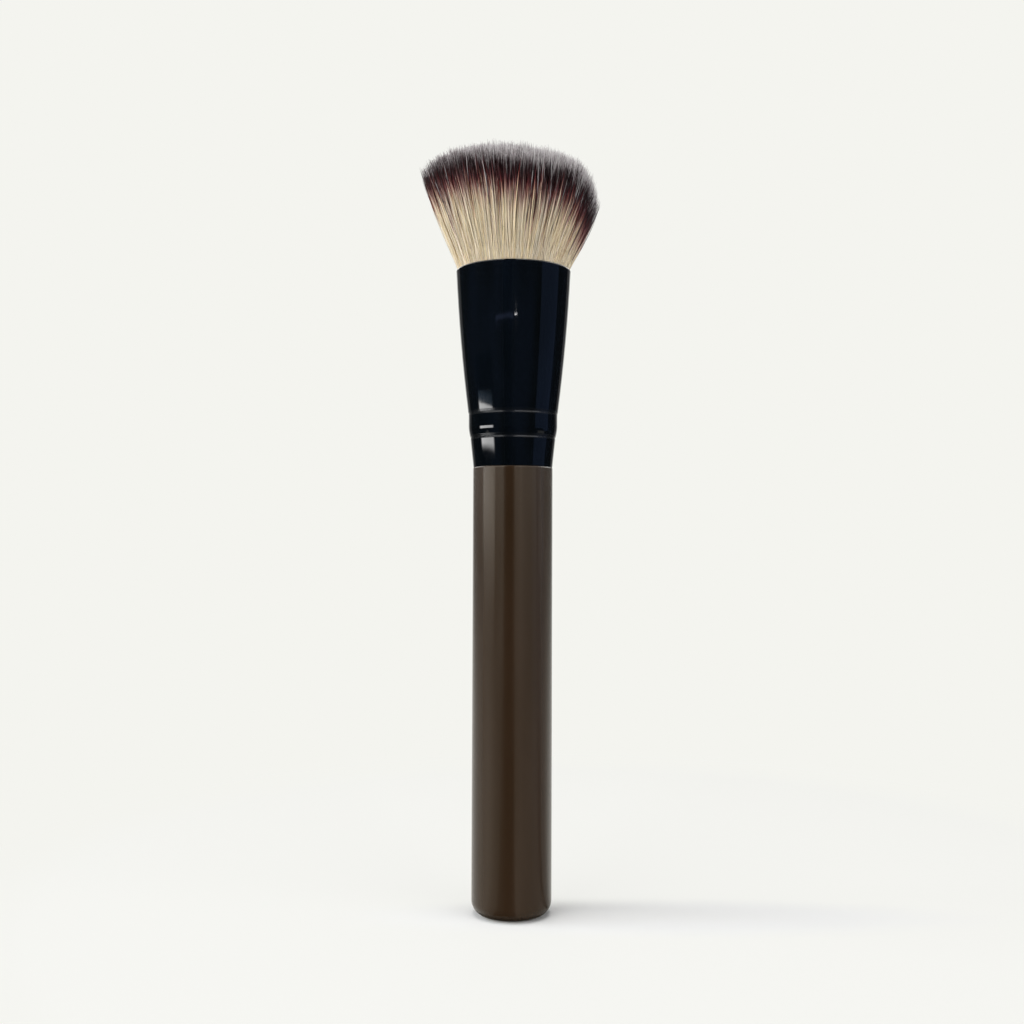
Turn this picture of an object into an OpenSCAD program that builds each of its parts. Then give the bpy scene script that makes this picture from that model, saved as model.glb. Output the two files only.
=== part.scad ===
// Long-handled kabuki makeup brush with an angled, domed tuft.
// It stands on the end of its handle. Millimetres, +Z up, origin at the middle of the base.

/* [Handle] */
// Length of the handle, from the base to the shoulder that the ferrule stands on
handle_h = 100; // [85:1:120]
// Diameter of the handle
handle_d = 18; // [16:0.5:20]
// Radius of the rounding round the base
base_round = 3; // [1.5:0.25:4]
// Radius of the rounding round the shoulder
shoulder_round = 0.35; // [0.2:0.05:0.6]
// Length of the tenon that goes up inside the ferrule
tenon_h = 16; // [15.5:0.5:19]
// Chamfer round the end of the tenon
tenon_chamfer = 0.8; // [0.4:0.1:1.5]
// Depth of the two glue grooves round the tenon
tenon_groove_depth = 0.5; // [0.2:0.1:1]
// Width of the two glue grooves round the tenon
tenon_groove_w = 1.6; // [1:0.1:2.4]

/* [Ferrule] */
// Height of the ferrule
ferrule_h = 44.5; // [42:0.5:50]
// Outer diameter of the ferrule's mouth
mouth_d = 26; // [24.5:0.25:28]
// Thickness of the ferrule's wall
wall = 0.5; // [0.35:0.05:0.7]
// Height of the lower rolled groove above the shoulder
lower_groove_h = 6.6; // [5.5:0.1:7.5]
// Height at which the bead between the grooves reaches its full size
bead_h = 9.3; // [8.8:0.1:10]
// Height of the upper rolled groove above the shoulder
upper_groove_h = 12; // [11.5:0.1:13]
// Width of a rolled groove
groove_w = 1; // [0.5:0.05:1.1]
// Depth of a rolled groove
groove_depth = 0.1; // [0.06:0.02:0.3]
// Step from the handle's side in to the ferrule's foot
foot_step = 0.05; // [0.05:0.05:0.3]
// Radius that the ferrule gains from its foot to the lower groove
cone_gain = 0.7; // [0.3:0.02:0.8]
// Radius that the ferrule gains from the lower groove to the bead
bead_gain = 0.4; // [0.3:0.02:0.6]
// Radius that the ferrule gains across the upper groove, from the bead to the long flare
flare_step = 0.15; // [0:0.01:0.25]
// How far the long upper flare bulges past a straight cone
flare_bulge = 0.32; // [0:0.02:0.5]

/* [Tuft] */
// Depth of the filaments' bonded ends below the mouth
root_depth = 17; // [15:0.5:18.5]
// Thickness of the bonded slice that the filaments stand on
root_slice_h = 2; // [1.5:0.25:3]
// Diameter across the tips at the rim
tip_spread = 41.6; // [36:0.2:44]
// Height of the rim's tips above the mouth, in the middle plane
rim_h = 20.6; // [18:0.1:25]
// Height of the dome above the rim's tips
dome_h = 6; // [1:0.2:8]
// How flat the dome is in the middle: 2 is a bowl, and more is flatter with steeper sides
dome_power = 2.6; // [1.6:0.1:5]
// Slope of the angled cut, which falls towards +X
cut_angle = 4.5; // [0:0.5:12]
// How far the shoulder on the low side is rounded off below the slope
shoulder_h = 4.6; // [0:0.1:6]
// Where that shoulder starts, as a share of the rim's radius
shoulder_start = 0.53; // [0.3:0.01:0.8]
// Rings of filaments; ring k has 6 k of them, so that 11 rings have 396
filament_rings = 11; // [10:1:12]
// Steepness of the filaments' flare at the mouth, as a share of a straight cone's
splay_start = 0.81; // [0.7:0.01:1.1]
// Steepness of the filaments' flare at the rim, as a share of a straight cone's
splay_end = 0.82; // [0.5:0.01:1]
// Width of a filament at two thirds of its height, as a share of its width at the mouth
belly_share = 1.25; // [1:0.05:1.4]
// Width of a filament at its tip, as a share of its width at the mouth
tip_share = 0.3; // [0.1:0.05:0.5]
// How unevenly long the filaments are, up or down
raggedness = 0.7; // [0:0.1:1]
// How far a filament's tip strays sideways from its even place
stray = 0.4; // [0:0.1:0.6]

/* [Bonding] */
// Gap between the tenon and the ferrule's foot, which the adhesive fills
glue_gap = 0.1; // [0.05:0.05:0.3]
// How far below the tenon's chamfer the adhesive stops
glue_setback = 0.6; // [0.2:0.1:1]
// Thickness of the resin under the filaments' bonded ends
resin_h = 7; // [4:0.5:8]
// Diameter of the tying thread
thread_d = 0.6; // [0.4:0.05:0.7]
// Turns of the tying thread
thread_turns = 4; // [2:1:5]
// Gap between the filaments and the ferrule's wall at the mouth
tuft_gap = 0.1; // [0.05:0.05:0.3]

/* [Hidden] */

// Turned and rolled faces, and the steps of their curves
round_fn = 96;
corner_steps = 8;
groove_steps = 6;
bead_steps = 4;
flare_steps = 8;

// Heights above the base
foot_z = handle_h;
mouth_z = foot_z + ferrule_h;
root_z = mouth_z - root_depth;
slice_top_z = root_z + root_slice_h;
tenon_top_z = foot_z + tenon_h;

// Height above the foot at which the ferrule's long flare starts
flare_start = upper_groove_h + groove_w / 2;

// Radii of the handle and the ferrule
handle_r = handle_d / 2;
foot_r = handle_r - foot_step;
waist_r = foot_r + cone_gain;
bead_r = waist_r + bead_gain;
flare_r = bead_r + flare_step;
mouth_r = mouth_d / 2;
tenon_r = foot_r - wall - glue_gap;

glue_h = tenon_h - tenon_chamfer - glue_setback;

// Radii of the tuft at the mouth and round its tips
tuft_mouth_r = mouth_r - wall - tuft_gap;
tip_r = tip_spread / 2;

// The thread lies just inside the wall, on the resin, and the filaments fill it to its top
thread_clearance = 0.05;
thread_pitch = 0.9 * thread_d;
thread_h = thread_d + (thread_turns - 1) * thread_pitch;
thread_r = inner_r(slice_top_z - foot_z) - thread_clearance - thread_d / 2;
thread_bore_r = thread_r - thread_d / 2 - thread_clearance;

// The filaments spread evenly from the slice to the mouth
thread_share = thread_h / (mouth_z - slice_top_z);
slice_r = (thread_bore_r - thread_share * tuft_mouth_r) / (1 - thread_share);

// One turn of a rolled groove's dip at height h, centred on height c
function groove_dip(h, c) =
    abs(h - c) < groove_w / 2 ? groove_depth * (1 + cos(360 * (h - c) / groove_w)) / 2 : 0;

// Share of the way from a to b that h has gone
function share(h, a, b) = (h - a) / (b - a);

// Outer radius of the ferrule at height h above its foot, without the grooves
function plain_r(h) =
    h < lower_groove_h ? foot_r + cone_gain * share(h, 0, lower_groove_h) :
    h < bead_h ? waist_r + bead_gain * sin(90 * share(h, lower_groove_h, bead_h)) :
    h < flare_start - groove_w ? bead_r :
    h < flare_start ? bead_r + flare_step * share(h, flare_start - groove_w, flare_start) :
    let (s = share(h, flare_start, ferrule_h))
        flare_r + (mouth_r - flare_r) * s + 4 * flare_bulge * s * (1 - s);

// Outer and inner radius of the ferrule at height h above its foot
function outer_r(h) = plain_r(h) - groove_dip(h, lower_groove_h) - groove_dip(h, upper_groove_h);
function inner_r(h) = outer_r(h) - wall;

// Heights at which the ferrule's outline has a point, from its foot to its lip
function groove_heights(c) = [for (i = [0 : groove_steps]) c + groove_w * (i / groove_steps - 0.5)];
flare_end = ferrule_h - wall / 2;
outline_heights = concat(
    [0],
    groove_heights(lower_groove_h),
    [for (i = [1 : bead_steps])
        lower_groove_h + groove_w / 2 + (bead_h - lower_groove_h - groove_w / 2) * i / bead_steps],
    groove_heights(upper_groove_h),
    [for (i = [1 : flare_steps]) flare_start + (flare_end - flare_start) * i / flare_steps]
);

// Points of the ferrule's inner face from height a to height b, both ends included
function inner_face(a, b) = concat(
    [[inner_r(a), foot_z + a]],
    [for (h = outline_heights) if (h > a + 0.01 && h < b - 0.01) [inner_r(h), foot_z + h]],
    [[inner_r(b), foot_z + b]]
);

// Arc of points about [x, y], from angle a to angle b
function arc(x, y, r, a, b) =
    [for (i = [0 : corner_steps]) let (t = a + (b - a) * i / corner_steps) [x + r * cos(t), y + r * sin(t)]];

function reversed(list) = [for (i = [len(list) - 1 : -1 : 0]) list[i]];

// Outline of a glue groove in the tenon, centred on height h above the shoulder
function tenon_groove(h) = [
    [tenon_r, foot_z + h - tenon_groove_w / 2],
    [tenon_r - tenon_groove_depth, foot_z + h - tenon_groove_w / 4],
    [tenon_r - tenon_groove_depth, foot_z + h + tenon_groove_w / 4],
    [tenon_r, foot_z + h + tenon_groove_w / 2]
];

// Side of the tenon, from the shoulder up: its grooves line up with the ferrule's rolled ones
tenon_side = concat(
    [[tenon_r, foot_z]], tenon_groove(lower_groove_h), tenon_groove(upper_groove_h)
);

module turned() {
    rotate_extrude($fn = round_fn) children();
}

// Lacquered wooden handle with its tenon, turned in one piece
module handle() {
    outline = concat(
        [[0, 0]],
        arc(handle_r - base_round, base_round, base_round, -90, 0),
        arc(handle_r - shoulder_round, foot_z - shoulder_round, shoulder_round, 0, 90),
        tenon_side,
        [
            [tenon_r, tenon_top_z - tenon_chamfer],
            [tenon_r - tenon_chamfer, tenon_top_z],
            [0, tenon_top_z]
        ]
    );
    color("#4a3b30") turned() polygon(outline);
}

// Adhesive between the tenon and the ferrule
module tenon_glue() {
    outline = concat(
        tenon_side,
        [[tenon_r, foot_z + glue_h]],
        reversed(inner_face(0, glue_h))
    );
    color("khaki") turned() polygon(outline);
}

// Drawn aluminium ferrule with two rolled grooves and a rounded lip
module ferrule() {
    outline = concat(
        [for (h = outline_heights) [outer_r(h), foot_z + h]],
        arc(mouth_r - wall / 2, mouth_z - wall / 2, wall / 2, 0, 180),
        reversed([for (h = outline_heights) [inner_r(h), foot_z + h]])
    );
    color("#10141c") turned() polygon(outline);
}

// Resin poured in under the filaments' ends; it rises round them as high as the tying thread
module resin_plug() {
    outline = concat(
        [[0, root_z - resin_h]],
        inner_face(root_z - resin_h - foot_z, slice_top_z - foot_z),
        [[slice_r, slice_top_z], [slice_r, root_z], [0, root_z]]
    );
    color("goldenrod") turned() polygon(outline);
}

// Thread wound round the filaments just above their bonded ends
module binding_thread() {
    color("ivory") turned()
        for (i = [0 : thread_turns - 1])
            translate([thread_r, slice_top_z + thread_d / 2 + thread_pitch * i])
                circle(d = thread_d, $fn = 24);
}

// The tuft stands on a disc of triangles: ring k of its corners has 6 k points.
// Each triangle whose base lies on its outer ring carries one three-sided filament,
// and the others are the slice's top face, so that all filaments grow from one slice.
ring_count = filament_rings;
corner_count = 1 + 3 * ring_count * (ring_count + 1);
rim_count = 6 * ring_count;
filament_levels = 3;

// Number of the corner at step j of ring k
function corner(k, j) = k == 0 ? 0 : 1 + 3 * k * (k - 1) + j % (6 * k);

// Corner at step j of ring k, on a disc of radius 1
function disc_point(k, j) = k == 0 ? [0, 0] : (k / ring_count) * [cos(60 * j / k), sin(60 * j / k)];

disc_points = concat(
    [[0, 0]],
    [for (k = [1 : ring_count], j = [0 : 6 * k - 1]) disc_point(k, j)]
);

// Corners of each filament's foot, anticlockwise from above
filament_feet = [
    for (k = [1 : ring_count], s = [0 : 5], i = [0 : k - 1])
        [corner(k - 1, s * (k - 1) + i), corner(k, s * k + i), corner(k, s * k + i + 1)]
];
filament_count = len(filament_feet);

// Triangles of the slice's top face between the filaments
slice_tops = [
    for (k = [2 : ring_count], s = [0 : 5], i = [0 : k - 2])
        [corner(k - 1, s * (k - 1) + i), corner(k - 1, s * (k - 1) + i + 1), corner(k, s * k + i + 1)]
];

// Evenly mixed offsets, one a filament, from -1 to 1: the golden ratio mixes its neighbours
golden = (sqrt(5) - 1) / 2;
function offset_of(n) = 2 * ((n * golden) % 1) - 1;

// Distance of the outermost filaments' centres from the axis, on a disc of radius 1
edge_share = 1 - 1 / (3 * ring_count);

// Height of the cut over a point of the disc: a dome, sheared by the slope, whose shoulder on
// the low side is rounded off
function cut_z(p) =
    let (
        s = min(1, norm(p) / edge_share),
        low = max(0, (p.x / edge_share - shoulder_start) / (1 - shoulder_start))
    )
    mouth_z + rim_h + dome_h * (1 - pow(s, dome_power)) - tan(cut_angle) * tip_r * p.x
        - shoulder_h * low * low;

// Radius of the tuft at height h above the mouth: a cubic that starts and ends as steep as
// the splay says
rim_r = tip_r / edge_share;
function tuft_r(h) =
    let (t = h / rim_h)
        tuft_mouth_r + (rim_r - tuft_mouth_r) * t
            * (splay_start + (3 - 2 * splay_start - splay_end) * t
                + (splay_start + splay_end - 2) * t * t);

// A filament has a level at the mouth, at two thirds of its height and at its tip;
// its width there is a share of its width at the root
mouth_width = 1.02;
level_width = mouth_width * [1, belly_share, tip_share];
level_stray = stray * [0, 0.25, 1];
level_height = [0, 2 / 3, 1];

// Height of a filament's level, where its foot is centred on c
function level_z(level, c, n) =
    let (height = cut_z(c) + raggedness * offset_of(n) - mouth_z)
        mouth_z + height * level_height[level];

// The three corners of filament n at a level
function filament_corners(n, level) =
    let (
        foot = [for (i = filament_feet[n]) disc_points[i]],
        c = (foot[0] + foot[1] + foot[2]) / 3,
        z = level_z(level, c, n),
        centre = c * tuft_r(z - mouth_z)
            + level_stray[level] * [offset_of(7 * n), offset_of(11 * n)]
    )
    [for (p = foot) let (q = centre + (p - c) * slice_r * level_width[level]) [q.x, q.y, z]];

// Corner i of filament n at a level; level -1 is its foot on the slice
function filament_corner(n, level, i) =
    level < 0 ? filament_feet[n][i % 3]
        : corner_count + (n * filament_levels + level) * 3 + i % 3;

// Both triangles of a quad with corners a, b above c, d
function quad(a, b, c, d) = [[a, b, d], [a, d, c]];

// Bonded filaments, fanned out above the mouth and cut to a slanting dome
module filament_tuft() {
    slice_bottom = corner_count + filament_count * filament_levels * 3;
    bottom_centre = slice_bottom + rim_count;
    points = concat(
        [for (p = disc_points) [slice_r * p.x, slice_r * p.y, slice_top_z]],
        [for (n = [0 : filament_count - 1], level = [0 : filament_levels - 1])
            each filament_corners(n, level)],
        [for (j = [0 : rim_count - 1])
            let (p = disc_point(ring_count, j)) [slice_r * p.x, slice_r * p.y, root_z]],
        [[0, 0, root_z]]
    );
    sides = [
        for (n = [0 : filament_count - 1], level = [0 : filament_levels - 1], i = [0 : 2])
            each quad(
                filament_corner(n, level, i), filament_corner(n, level, i + 1),
                filament_corner(n, level - 1, i), filament_corner(n, level - 1, i + 1)
            )
    ];
    tips = [
        for (n = [0 : filament_count - 1])
            [for (i = [2 : -1 : 0]) filament_corner(n, filament_levels - 1, i)]
    ];
    rim = [
        for (j = [0 : rim_count - 1])
            each quad(
                corner(ring_count, j), corner(ring_count, j + 1),
                slice_bottom + j, slice_bottom + (j + 1) % rim_count
            )
    ];
    bottom = [
        for (j = [0 : rim_count - 1])
            [bottom_centre, slice_bottom + j, slice_bottom + (j + 1) % rim_count]
    ];
    color("#d8c9a0")
        polyhedron(
            points = points,
            faces = concat(sides, tips, slice_tops, rim, bottom),
            convexity = 10
        );
}

handle();
tenon_glue();
ferrule();
resin_plug();
binding_thread();
filament_tuft();
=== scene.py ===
"""Looks of a long-handled kabuki makeup brush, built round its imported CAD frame.

The handle and the ferrule keep their CAD solids and get their finishes here. The tuft's CAD
solid is replaced by some twenty-four thousand tapered filaments, gathered into pointed locks.
Sizes in the classes are millimetres; meshes are written in metres.
"""

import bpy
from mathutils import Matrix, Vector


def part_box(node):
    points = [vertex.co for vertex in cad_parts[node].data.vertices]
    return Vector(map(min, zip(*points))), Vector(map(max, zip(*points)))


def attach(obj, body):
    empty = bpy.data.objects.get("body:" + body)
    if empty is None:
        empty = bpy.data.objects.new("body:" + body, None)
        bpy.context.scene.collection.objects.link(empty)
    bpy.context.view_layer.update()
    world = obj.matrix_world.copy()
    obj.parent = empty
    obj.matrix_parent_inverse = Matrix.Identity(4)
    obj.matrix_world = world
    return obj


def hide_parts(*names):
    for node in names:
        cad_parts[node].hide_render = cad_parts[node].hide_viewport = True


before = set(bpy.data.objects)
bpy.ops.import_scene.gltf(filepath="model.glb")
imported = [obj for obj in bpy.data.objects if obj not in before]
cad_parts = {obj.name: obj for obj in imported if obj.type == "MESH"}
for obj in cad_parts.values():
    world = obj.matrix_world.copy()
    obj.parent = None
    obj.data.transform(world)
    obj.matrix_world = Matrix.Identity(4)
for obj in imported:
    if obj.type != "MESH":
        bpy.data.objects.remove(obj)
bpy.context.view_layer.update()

import logging
import math
from dataclasses import dataclass, field
from enum import Enum
from typing import Any, Mapping, Sequence

import bpy
import numpy as np
from mathutils import Matrix, Vector

log = logging.getLogger("brush")

MM = 0.001
BODY = "root"
GOLDEN_ANGLE = math.pi * (3.0 - math.sqrt(5.0))

# A filament's column on its map: margin and used width as shares of the column, the lowest and
# highest coordinate along it, the least length of a side, and the length of an end's triangle
COLUMN_MARGIN = 0.1
COLUMN_USED = 0.8
MAP_ENDS = (0.002, 0.994)
LEAST_SIDE = 0.0005
END_LENGTH = 0.004
# Points of the paper's grid along its floor and round its bend
FLOOR_POINTS = 12
BEND_POINTS = 17

Colour = tuple[float, float, float, float]
Triple = tuple[float, float, float]


class Slot(Enum):
    """Material slots of the record; this script does not use them."""

    FILAMENTS = "filaments"


def linear(hex_colour: str) -> Colour:
    """Turns an sRGB hex colour into linear light.

    Each channel c becomes c / 12.92 below 0.04045, and ((c + 0.055) / 1.055) ** 2.4 above.

    Args:
        hex_colour: six hex digits, with or without a leading hash.
    Returns:
        Red, green, blue and an alpha of one.
    """
    digits = hex_colour.lstrip("#")
    channels = [int(digits[i:i + 2], 16) / 255.0 for i in (0, 2, 4)]
    lit = [c / 12.92 if c <= 0.04045 else ((c + 0.055) / 1.055) ** 2.4 for c in channels]
    return (lit[0], lit[1], lit[2], 1.0)


def add_node(
    tree: bpy.types.NodeTree,
    kind: str,
    inputs: Mapping[str | int, Any] | None = None,
    **settings: Any,
) -> bpy.types.Node:
    """Adds a node to a tree with its settings, values and links.

    Args:
        tree: node tree to add to.
        kind: the node's type, without the "ShaderNode" that it starts with.
        inputs: value or output socket for each input, by name or number.
        **settings: properties of the node itself, such as operation.
    Returns:
        The new node.
    """
    node = tree.nodes.new("ShaderNode" + kind)
    for name, value in settings.items():
        setattr(node, name, value)
    for key, value in (inputs or {}).items():
        if isinstance(value, bpy.types.NodeSocket):
            tree.links.new(value, node.inputs[key])
        else:
            node.inputs[key].default_value = value
    return node


def maths(tree: bpy.types.NodeTree, operation: str, *values: Any) -> bpy.types.NodeSocket:
    """Adds a Math node and gives its result.

    Args:
        tree: node tree to add to.
        operation: what the node does.
        *values: its inputs in order, numbers or output sockets.
    Returns:
        The node's output socket.
    """
    return add_node(tree, "Math", dict(enumerate(values)), operation=operation).outputs[0]


def new_material(name: str) -> tuple[bpy.types.Material, bpy.types.NodeTree]:
    """Makes an empty node material.

    Args:
        name: the material's name.
    Returns:
        The material and its node tree.
    """
    material = bpy.data.materials.new(name)
    material.use_nodes = True
    material.node_tree.nodes.clear()
    return material, material.node_tree


def set_ramp(node: bpy.types.Node, stops: Sequence[tuple[float, Colour]]) -> None:
    """Gives a colour ramp its stops.

    Args:
        node: the colour ramp node.
        stops: position and linear colour of each stop, in rising order.
    """
    elements = node.color_ramp.elements
    while len(elements) > 1:
        elements.remove(elements[-1])
    elements[0].position, elements[0].color = stops[0]
    for position, colour in stops[1:]:
        elements.new(position).color = colour


def new_piece(name: str, mesh: bpy.types.Mesh, material: bpy.types.Material) -> bpy.types.Object:
    """Links a mesh into the scene as a piece at the origin.

    Args:
        name: the piece's name.
        mesh: its mesh, already in place and in metres.
        material: its only material.
    Returns:
        The new object.
    """
    piece = bpy.data.objects.new(name, mesh)
    bpy.context.scene.collection.objects.link(piece)
    mesh.materials.append(material)
    return piece


def grid_mesh(name: str, points: np.ndarray) -> bpy.types.Mesh:
    """Makes a smooth quad mesh from a grid of points.

    Point (i, j) of the grid joins (i + 1, j), (i + 1, j + 1) and (i, j + 1) in one quad.

    Args:
        name: the mesh's name.
        points: rows by columns by three, in metres.
    Returns:
        The mesh.
    """
    rows, columns = points.shape[:2]
    index = np.arange(rows * columns).reshape(rows, columns)
    quads = np.stack([index[:-1, :-1], index[1:, :-1], index[1:, 1:], index[:-1, 1:]], axis=-1)
    mesh = bpy.data.meshes.new(name)
    mesh.from_pydata(points.reshape(-1, 3).tolist(), [], quads.reshape(-1, 4).tolist())
    mesh.shade_smooth()
    return mesh


@dataclass(frozen=True)
class TurnedLacquer:
    """Brown gloss lacquer on a turned wooden handle.

    Turning and sanding leave fine rings round the handle, which spread reflections along it,
    so that lamps show as long upright streaks. The lacquer has a faint orange peel and dust.
    """

    name: str = "lacquered_beech_turned_gloss"
    base: str = "#281b0e"
    cloud: str = "#2d1f14"
    dust: str = "#b9aea0"
    tint: str = "#fff7e6"
    roughness: float = 0.24
    anisotropy: float = 0.97
    # Fine rubbing marks, which pale the sides of the handle
    haze: float = 0.14
    haze_roughness: float = 0.35
    # How far the roughness goes up and down from cloud to cloud
    wear: float = 0.03
    # Sizes of the orange peel, the turned rings, the clouds of tone and the spacing of the dust,
    # and a dust speck's radius as a share of that spacing, which makes it about 0.17 mm across
    peel_mm: float = 0.9
    ring_mm: float = 0.35
    cloud_mm: float = 9.0
    dust_mm: float = 7.0
    speck: float = 0.012

    def material(self) -> bpy.types.Material:
        """Builds the lacquer's material."""
        material, tree = new_material(self.name)
        place = add_node(tree, "TexCoord").outputs["Object"]
        upright = add_node(tree, "Mapping", {"Vector": place, "Scale": (1.0, 1.0, 0.12)})
        cloud = add_node(
            tree, "TexNoise",
            {"Vector": upright.outputs[0], "Scale": 1.0 / (self.cloud_mm * MM), "Detail": 4.0},
        )
        tone = add_node(tree, "ValToRGB", {"Fac": cloud.outputs["Fac"]})
        set_ramp(tone, [(0.3, linear(self.base)), (0.7, linear(self.cloud))])
        specks = add_node(
            tree, "TexVoronoi", {"Vector": place, "Scale": 1.0 / (self.dust_mm * MM)},
            feature="F1",
        )
        speck = maths(tree, "LESS_THAN", specks.outputs["Distance"], self.speck)
        colour = add_node(
            tree, "Mix",
            {"Factor": speck, "A": tone.outputs["Color"], "B": linear(self.dust)},
            data_type="RGBA",
        )
        peel = add_node(
            tree, "TexNoise", {"Vector": place, "Scale": 1.0 / (self.peel_mm * MM), "Detail": 2.0}
        )
        turned = add_node(tree, "Mapping", {"Vector": place, "Scale": (0.02, 0.02, 1.0)})
        rings = add_node(
            tree, "TexNoise",
            {"Vector": turned.outputs[0], "Scale": 1.0 / (self.ring_mm * MM), "Detail": 3.0},
        )
        height = maths(tree, "ADD", peel.outputs["Fac"], rings.outputs["Fac"])
        bump = add_node(
            tree, "Bump", {"Height": height, "Strength": 0.12, "Distance": 0.02 * MM}
        )
        wear = add_node(
            tree, "MapRange",
            {"Value": cloud.outputs["Fac"], "From Min": 0.3, "From Max": 0.7,
             "To Min": self.roughness - self.wear, "To Max": self.roughness + self.wear},
        )
        round_axis = add_node(tree, "Tangent", direction_type="RADIAL", axis="Z")
        skin = add_node(
            tree, "BsdfPrincipled",
            {"Base Color": colour.outputs["Result"], "Roughness": wear.outputs["Result"],
             "Normal": bump.outputs["Normal"], "Tangent": round_axis.outputs[0],
             "Anisotropic": self.anisotropy, "Anisotropic Rotation": 0.25,
             "Specular Tint": linear(self.tint), "IOR": 1.46,
             "Sheen Weight": self.haze, "Sheen Roughness": self.haze_roughness,
             "Sheen Tint": linear(self.tint)},
        )
        add_node(tree, "OutputMaterial", {"Surface": skin.outputs[0]})
        return material


@dataclass(frozen=True)
class BlackGlossCoat:
    """Blue-black gloss coat on a drawn aluminium ferrule.

    The coat is near black and mirrors the room; drawing the tube leaves faint upright ripples.
    """

    name: str = "gloss_black_coated_drawn_aluminium"
    base: str = "#05080b"
    tint: str = "#080d14"
    roughness: float = 0.045
    ripple_mm: float = 3.2
    grain_mm: float = 0.5
    # Rolled grooves: their heights in millimetres, half their width, their duller finish, and how
    # much the coat that fills them rounds their walls off
    grooves_mm: tuple[float, float] = (106.6, 112.0)
    groove_half_mm: float = 0.5
    groove_roughness: float = 0.22
    groove_fill: float = 0.6

    def material(self) -> bpy.types.Material:
        """Builds the coat's material."""
        material, tree = new_material(self.name)
        place = add_node(tree, "TexCoord").outputs["Object"]
        drawn = add_node(tree, "Mapping", {"Vector": place, "Scale": (1.0, 1.0, 0.08)})
        ripple = add_node(
            tree, "TexNoise",
            {"Vector": drawn.outputs[0], "Scale": 1.0 / (self.ripple_mm * MM), "Detail": 1.5},
        )
        tone = add_node(tree, "ValToRGB", {"Fac": ripple.outputs["Fac"]})
        set_ramp(tone, [(0.35, linear(self.base)), (0.7, linear(self.tint))])
        grain = add_node(
            tree, "TexNoise", {"Vector": place, "Scale": 1.0 / (self.grain_mm * MM), "Detail": 2.0}
        )
        height = add_node(tree, "SeparateXYZ", {"Vector": place}).outputs["Z"]
        half = self.groove_half_mm * MM
        near = [maths(tree, "COMPARE", height, groove * MM, half) for groove in self.grooves_mm]
        dull = maths(tree, "MAXIMUM", *near)
        outward = add_node(tree, "VectorMath", {0: place, 1: (1.0, 1.0, 0.0)}, operation="MULTIPLY")
        outward = add_node(tree, "VectorMath", {0: outward.outputs[0]}, operation="NORMALIZE")
        filled = maths(tree, "MULTIPLY", dull, self.groove_fill)
        wall = add_node(
            tree, "Mix",
            {"Factor": filled, "A": add_node(tree, "NewGeometry").outputs["Normal"],
             "B": outward.outputs[0]},
            data_type="VECTOR",
        )
        wall = add_node(tree, "VectorMath", {0: wall.outputs["Result"]}, operation="NORMALIZE")
        fine = add_node(
            tree, "Bump",
            {"Height": grain.outputs["Fac"], "Strength": 0.03, "Distance": 0.01 * MM,
             "Normal": wall.outputs[0]},
        )
        broad = add_node(
            tree, "Bump",
            {"Height": ripple.outputs["Fac"], "Strength": 0.2, "Distance": 0.03 * MM,
             "Normal": fine.outputs["Normal"]},
        )
        sheen = add_node(
            tree, "MapRange",
            {"Value": dull, "To Min": self.roughness, "To Max": self.groove_roughness},
        )
        skin = add_node(
            tree, "BsdfPrincipled",
            {"Base Color": tone.outputs["Color"], "Roughness": sheen.outputs["Result"],
             "Normal": broad.outputs["Normal"], "IOR": 1.45},
        )
        add_node(tree, "OutputMaterial", {"Surface": skin.outputs[0]})
        return material


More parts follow.
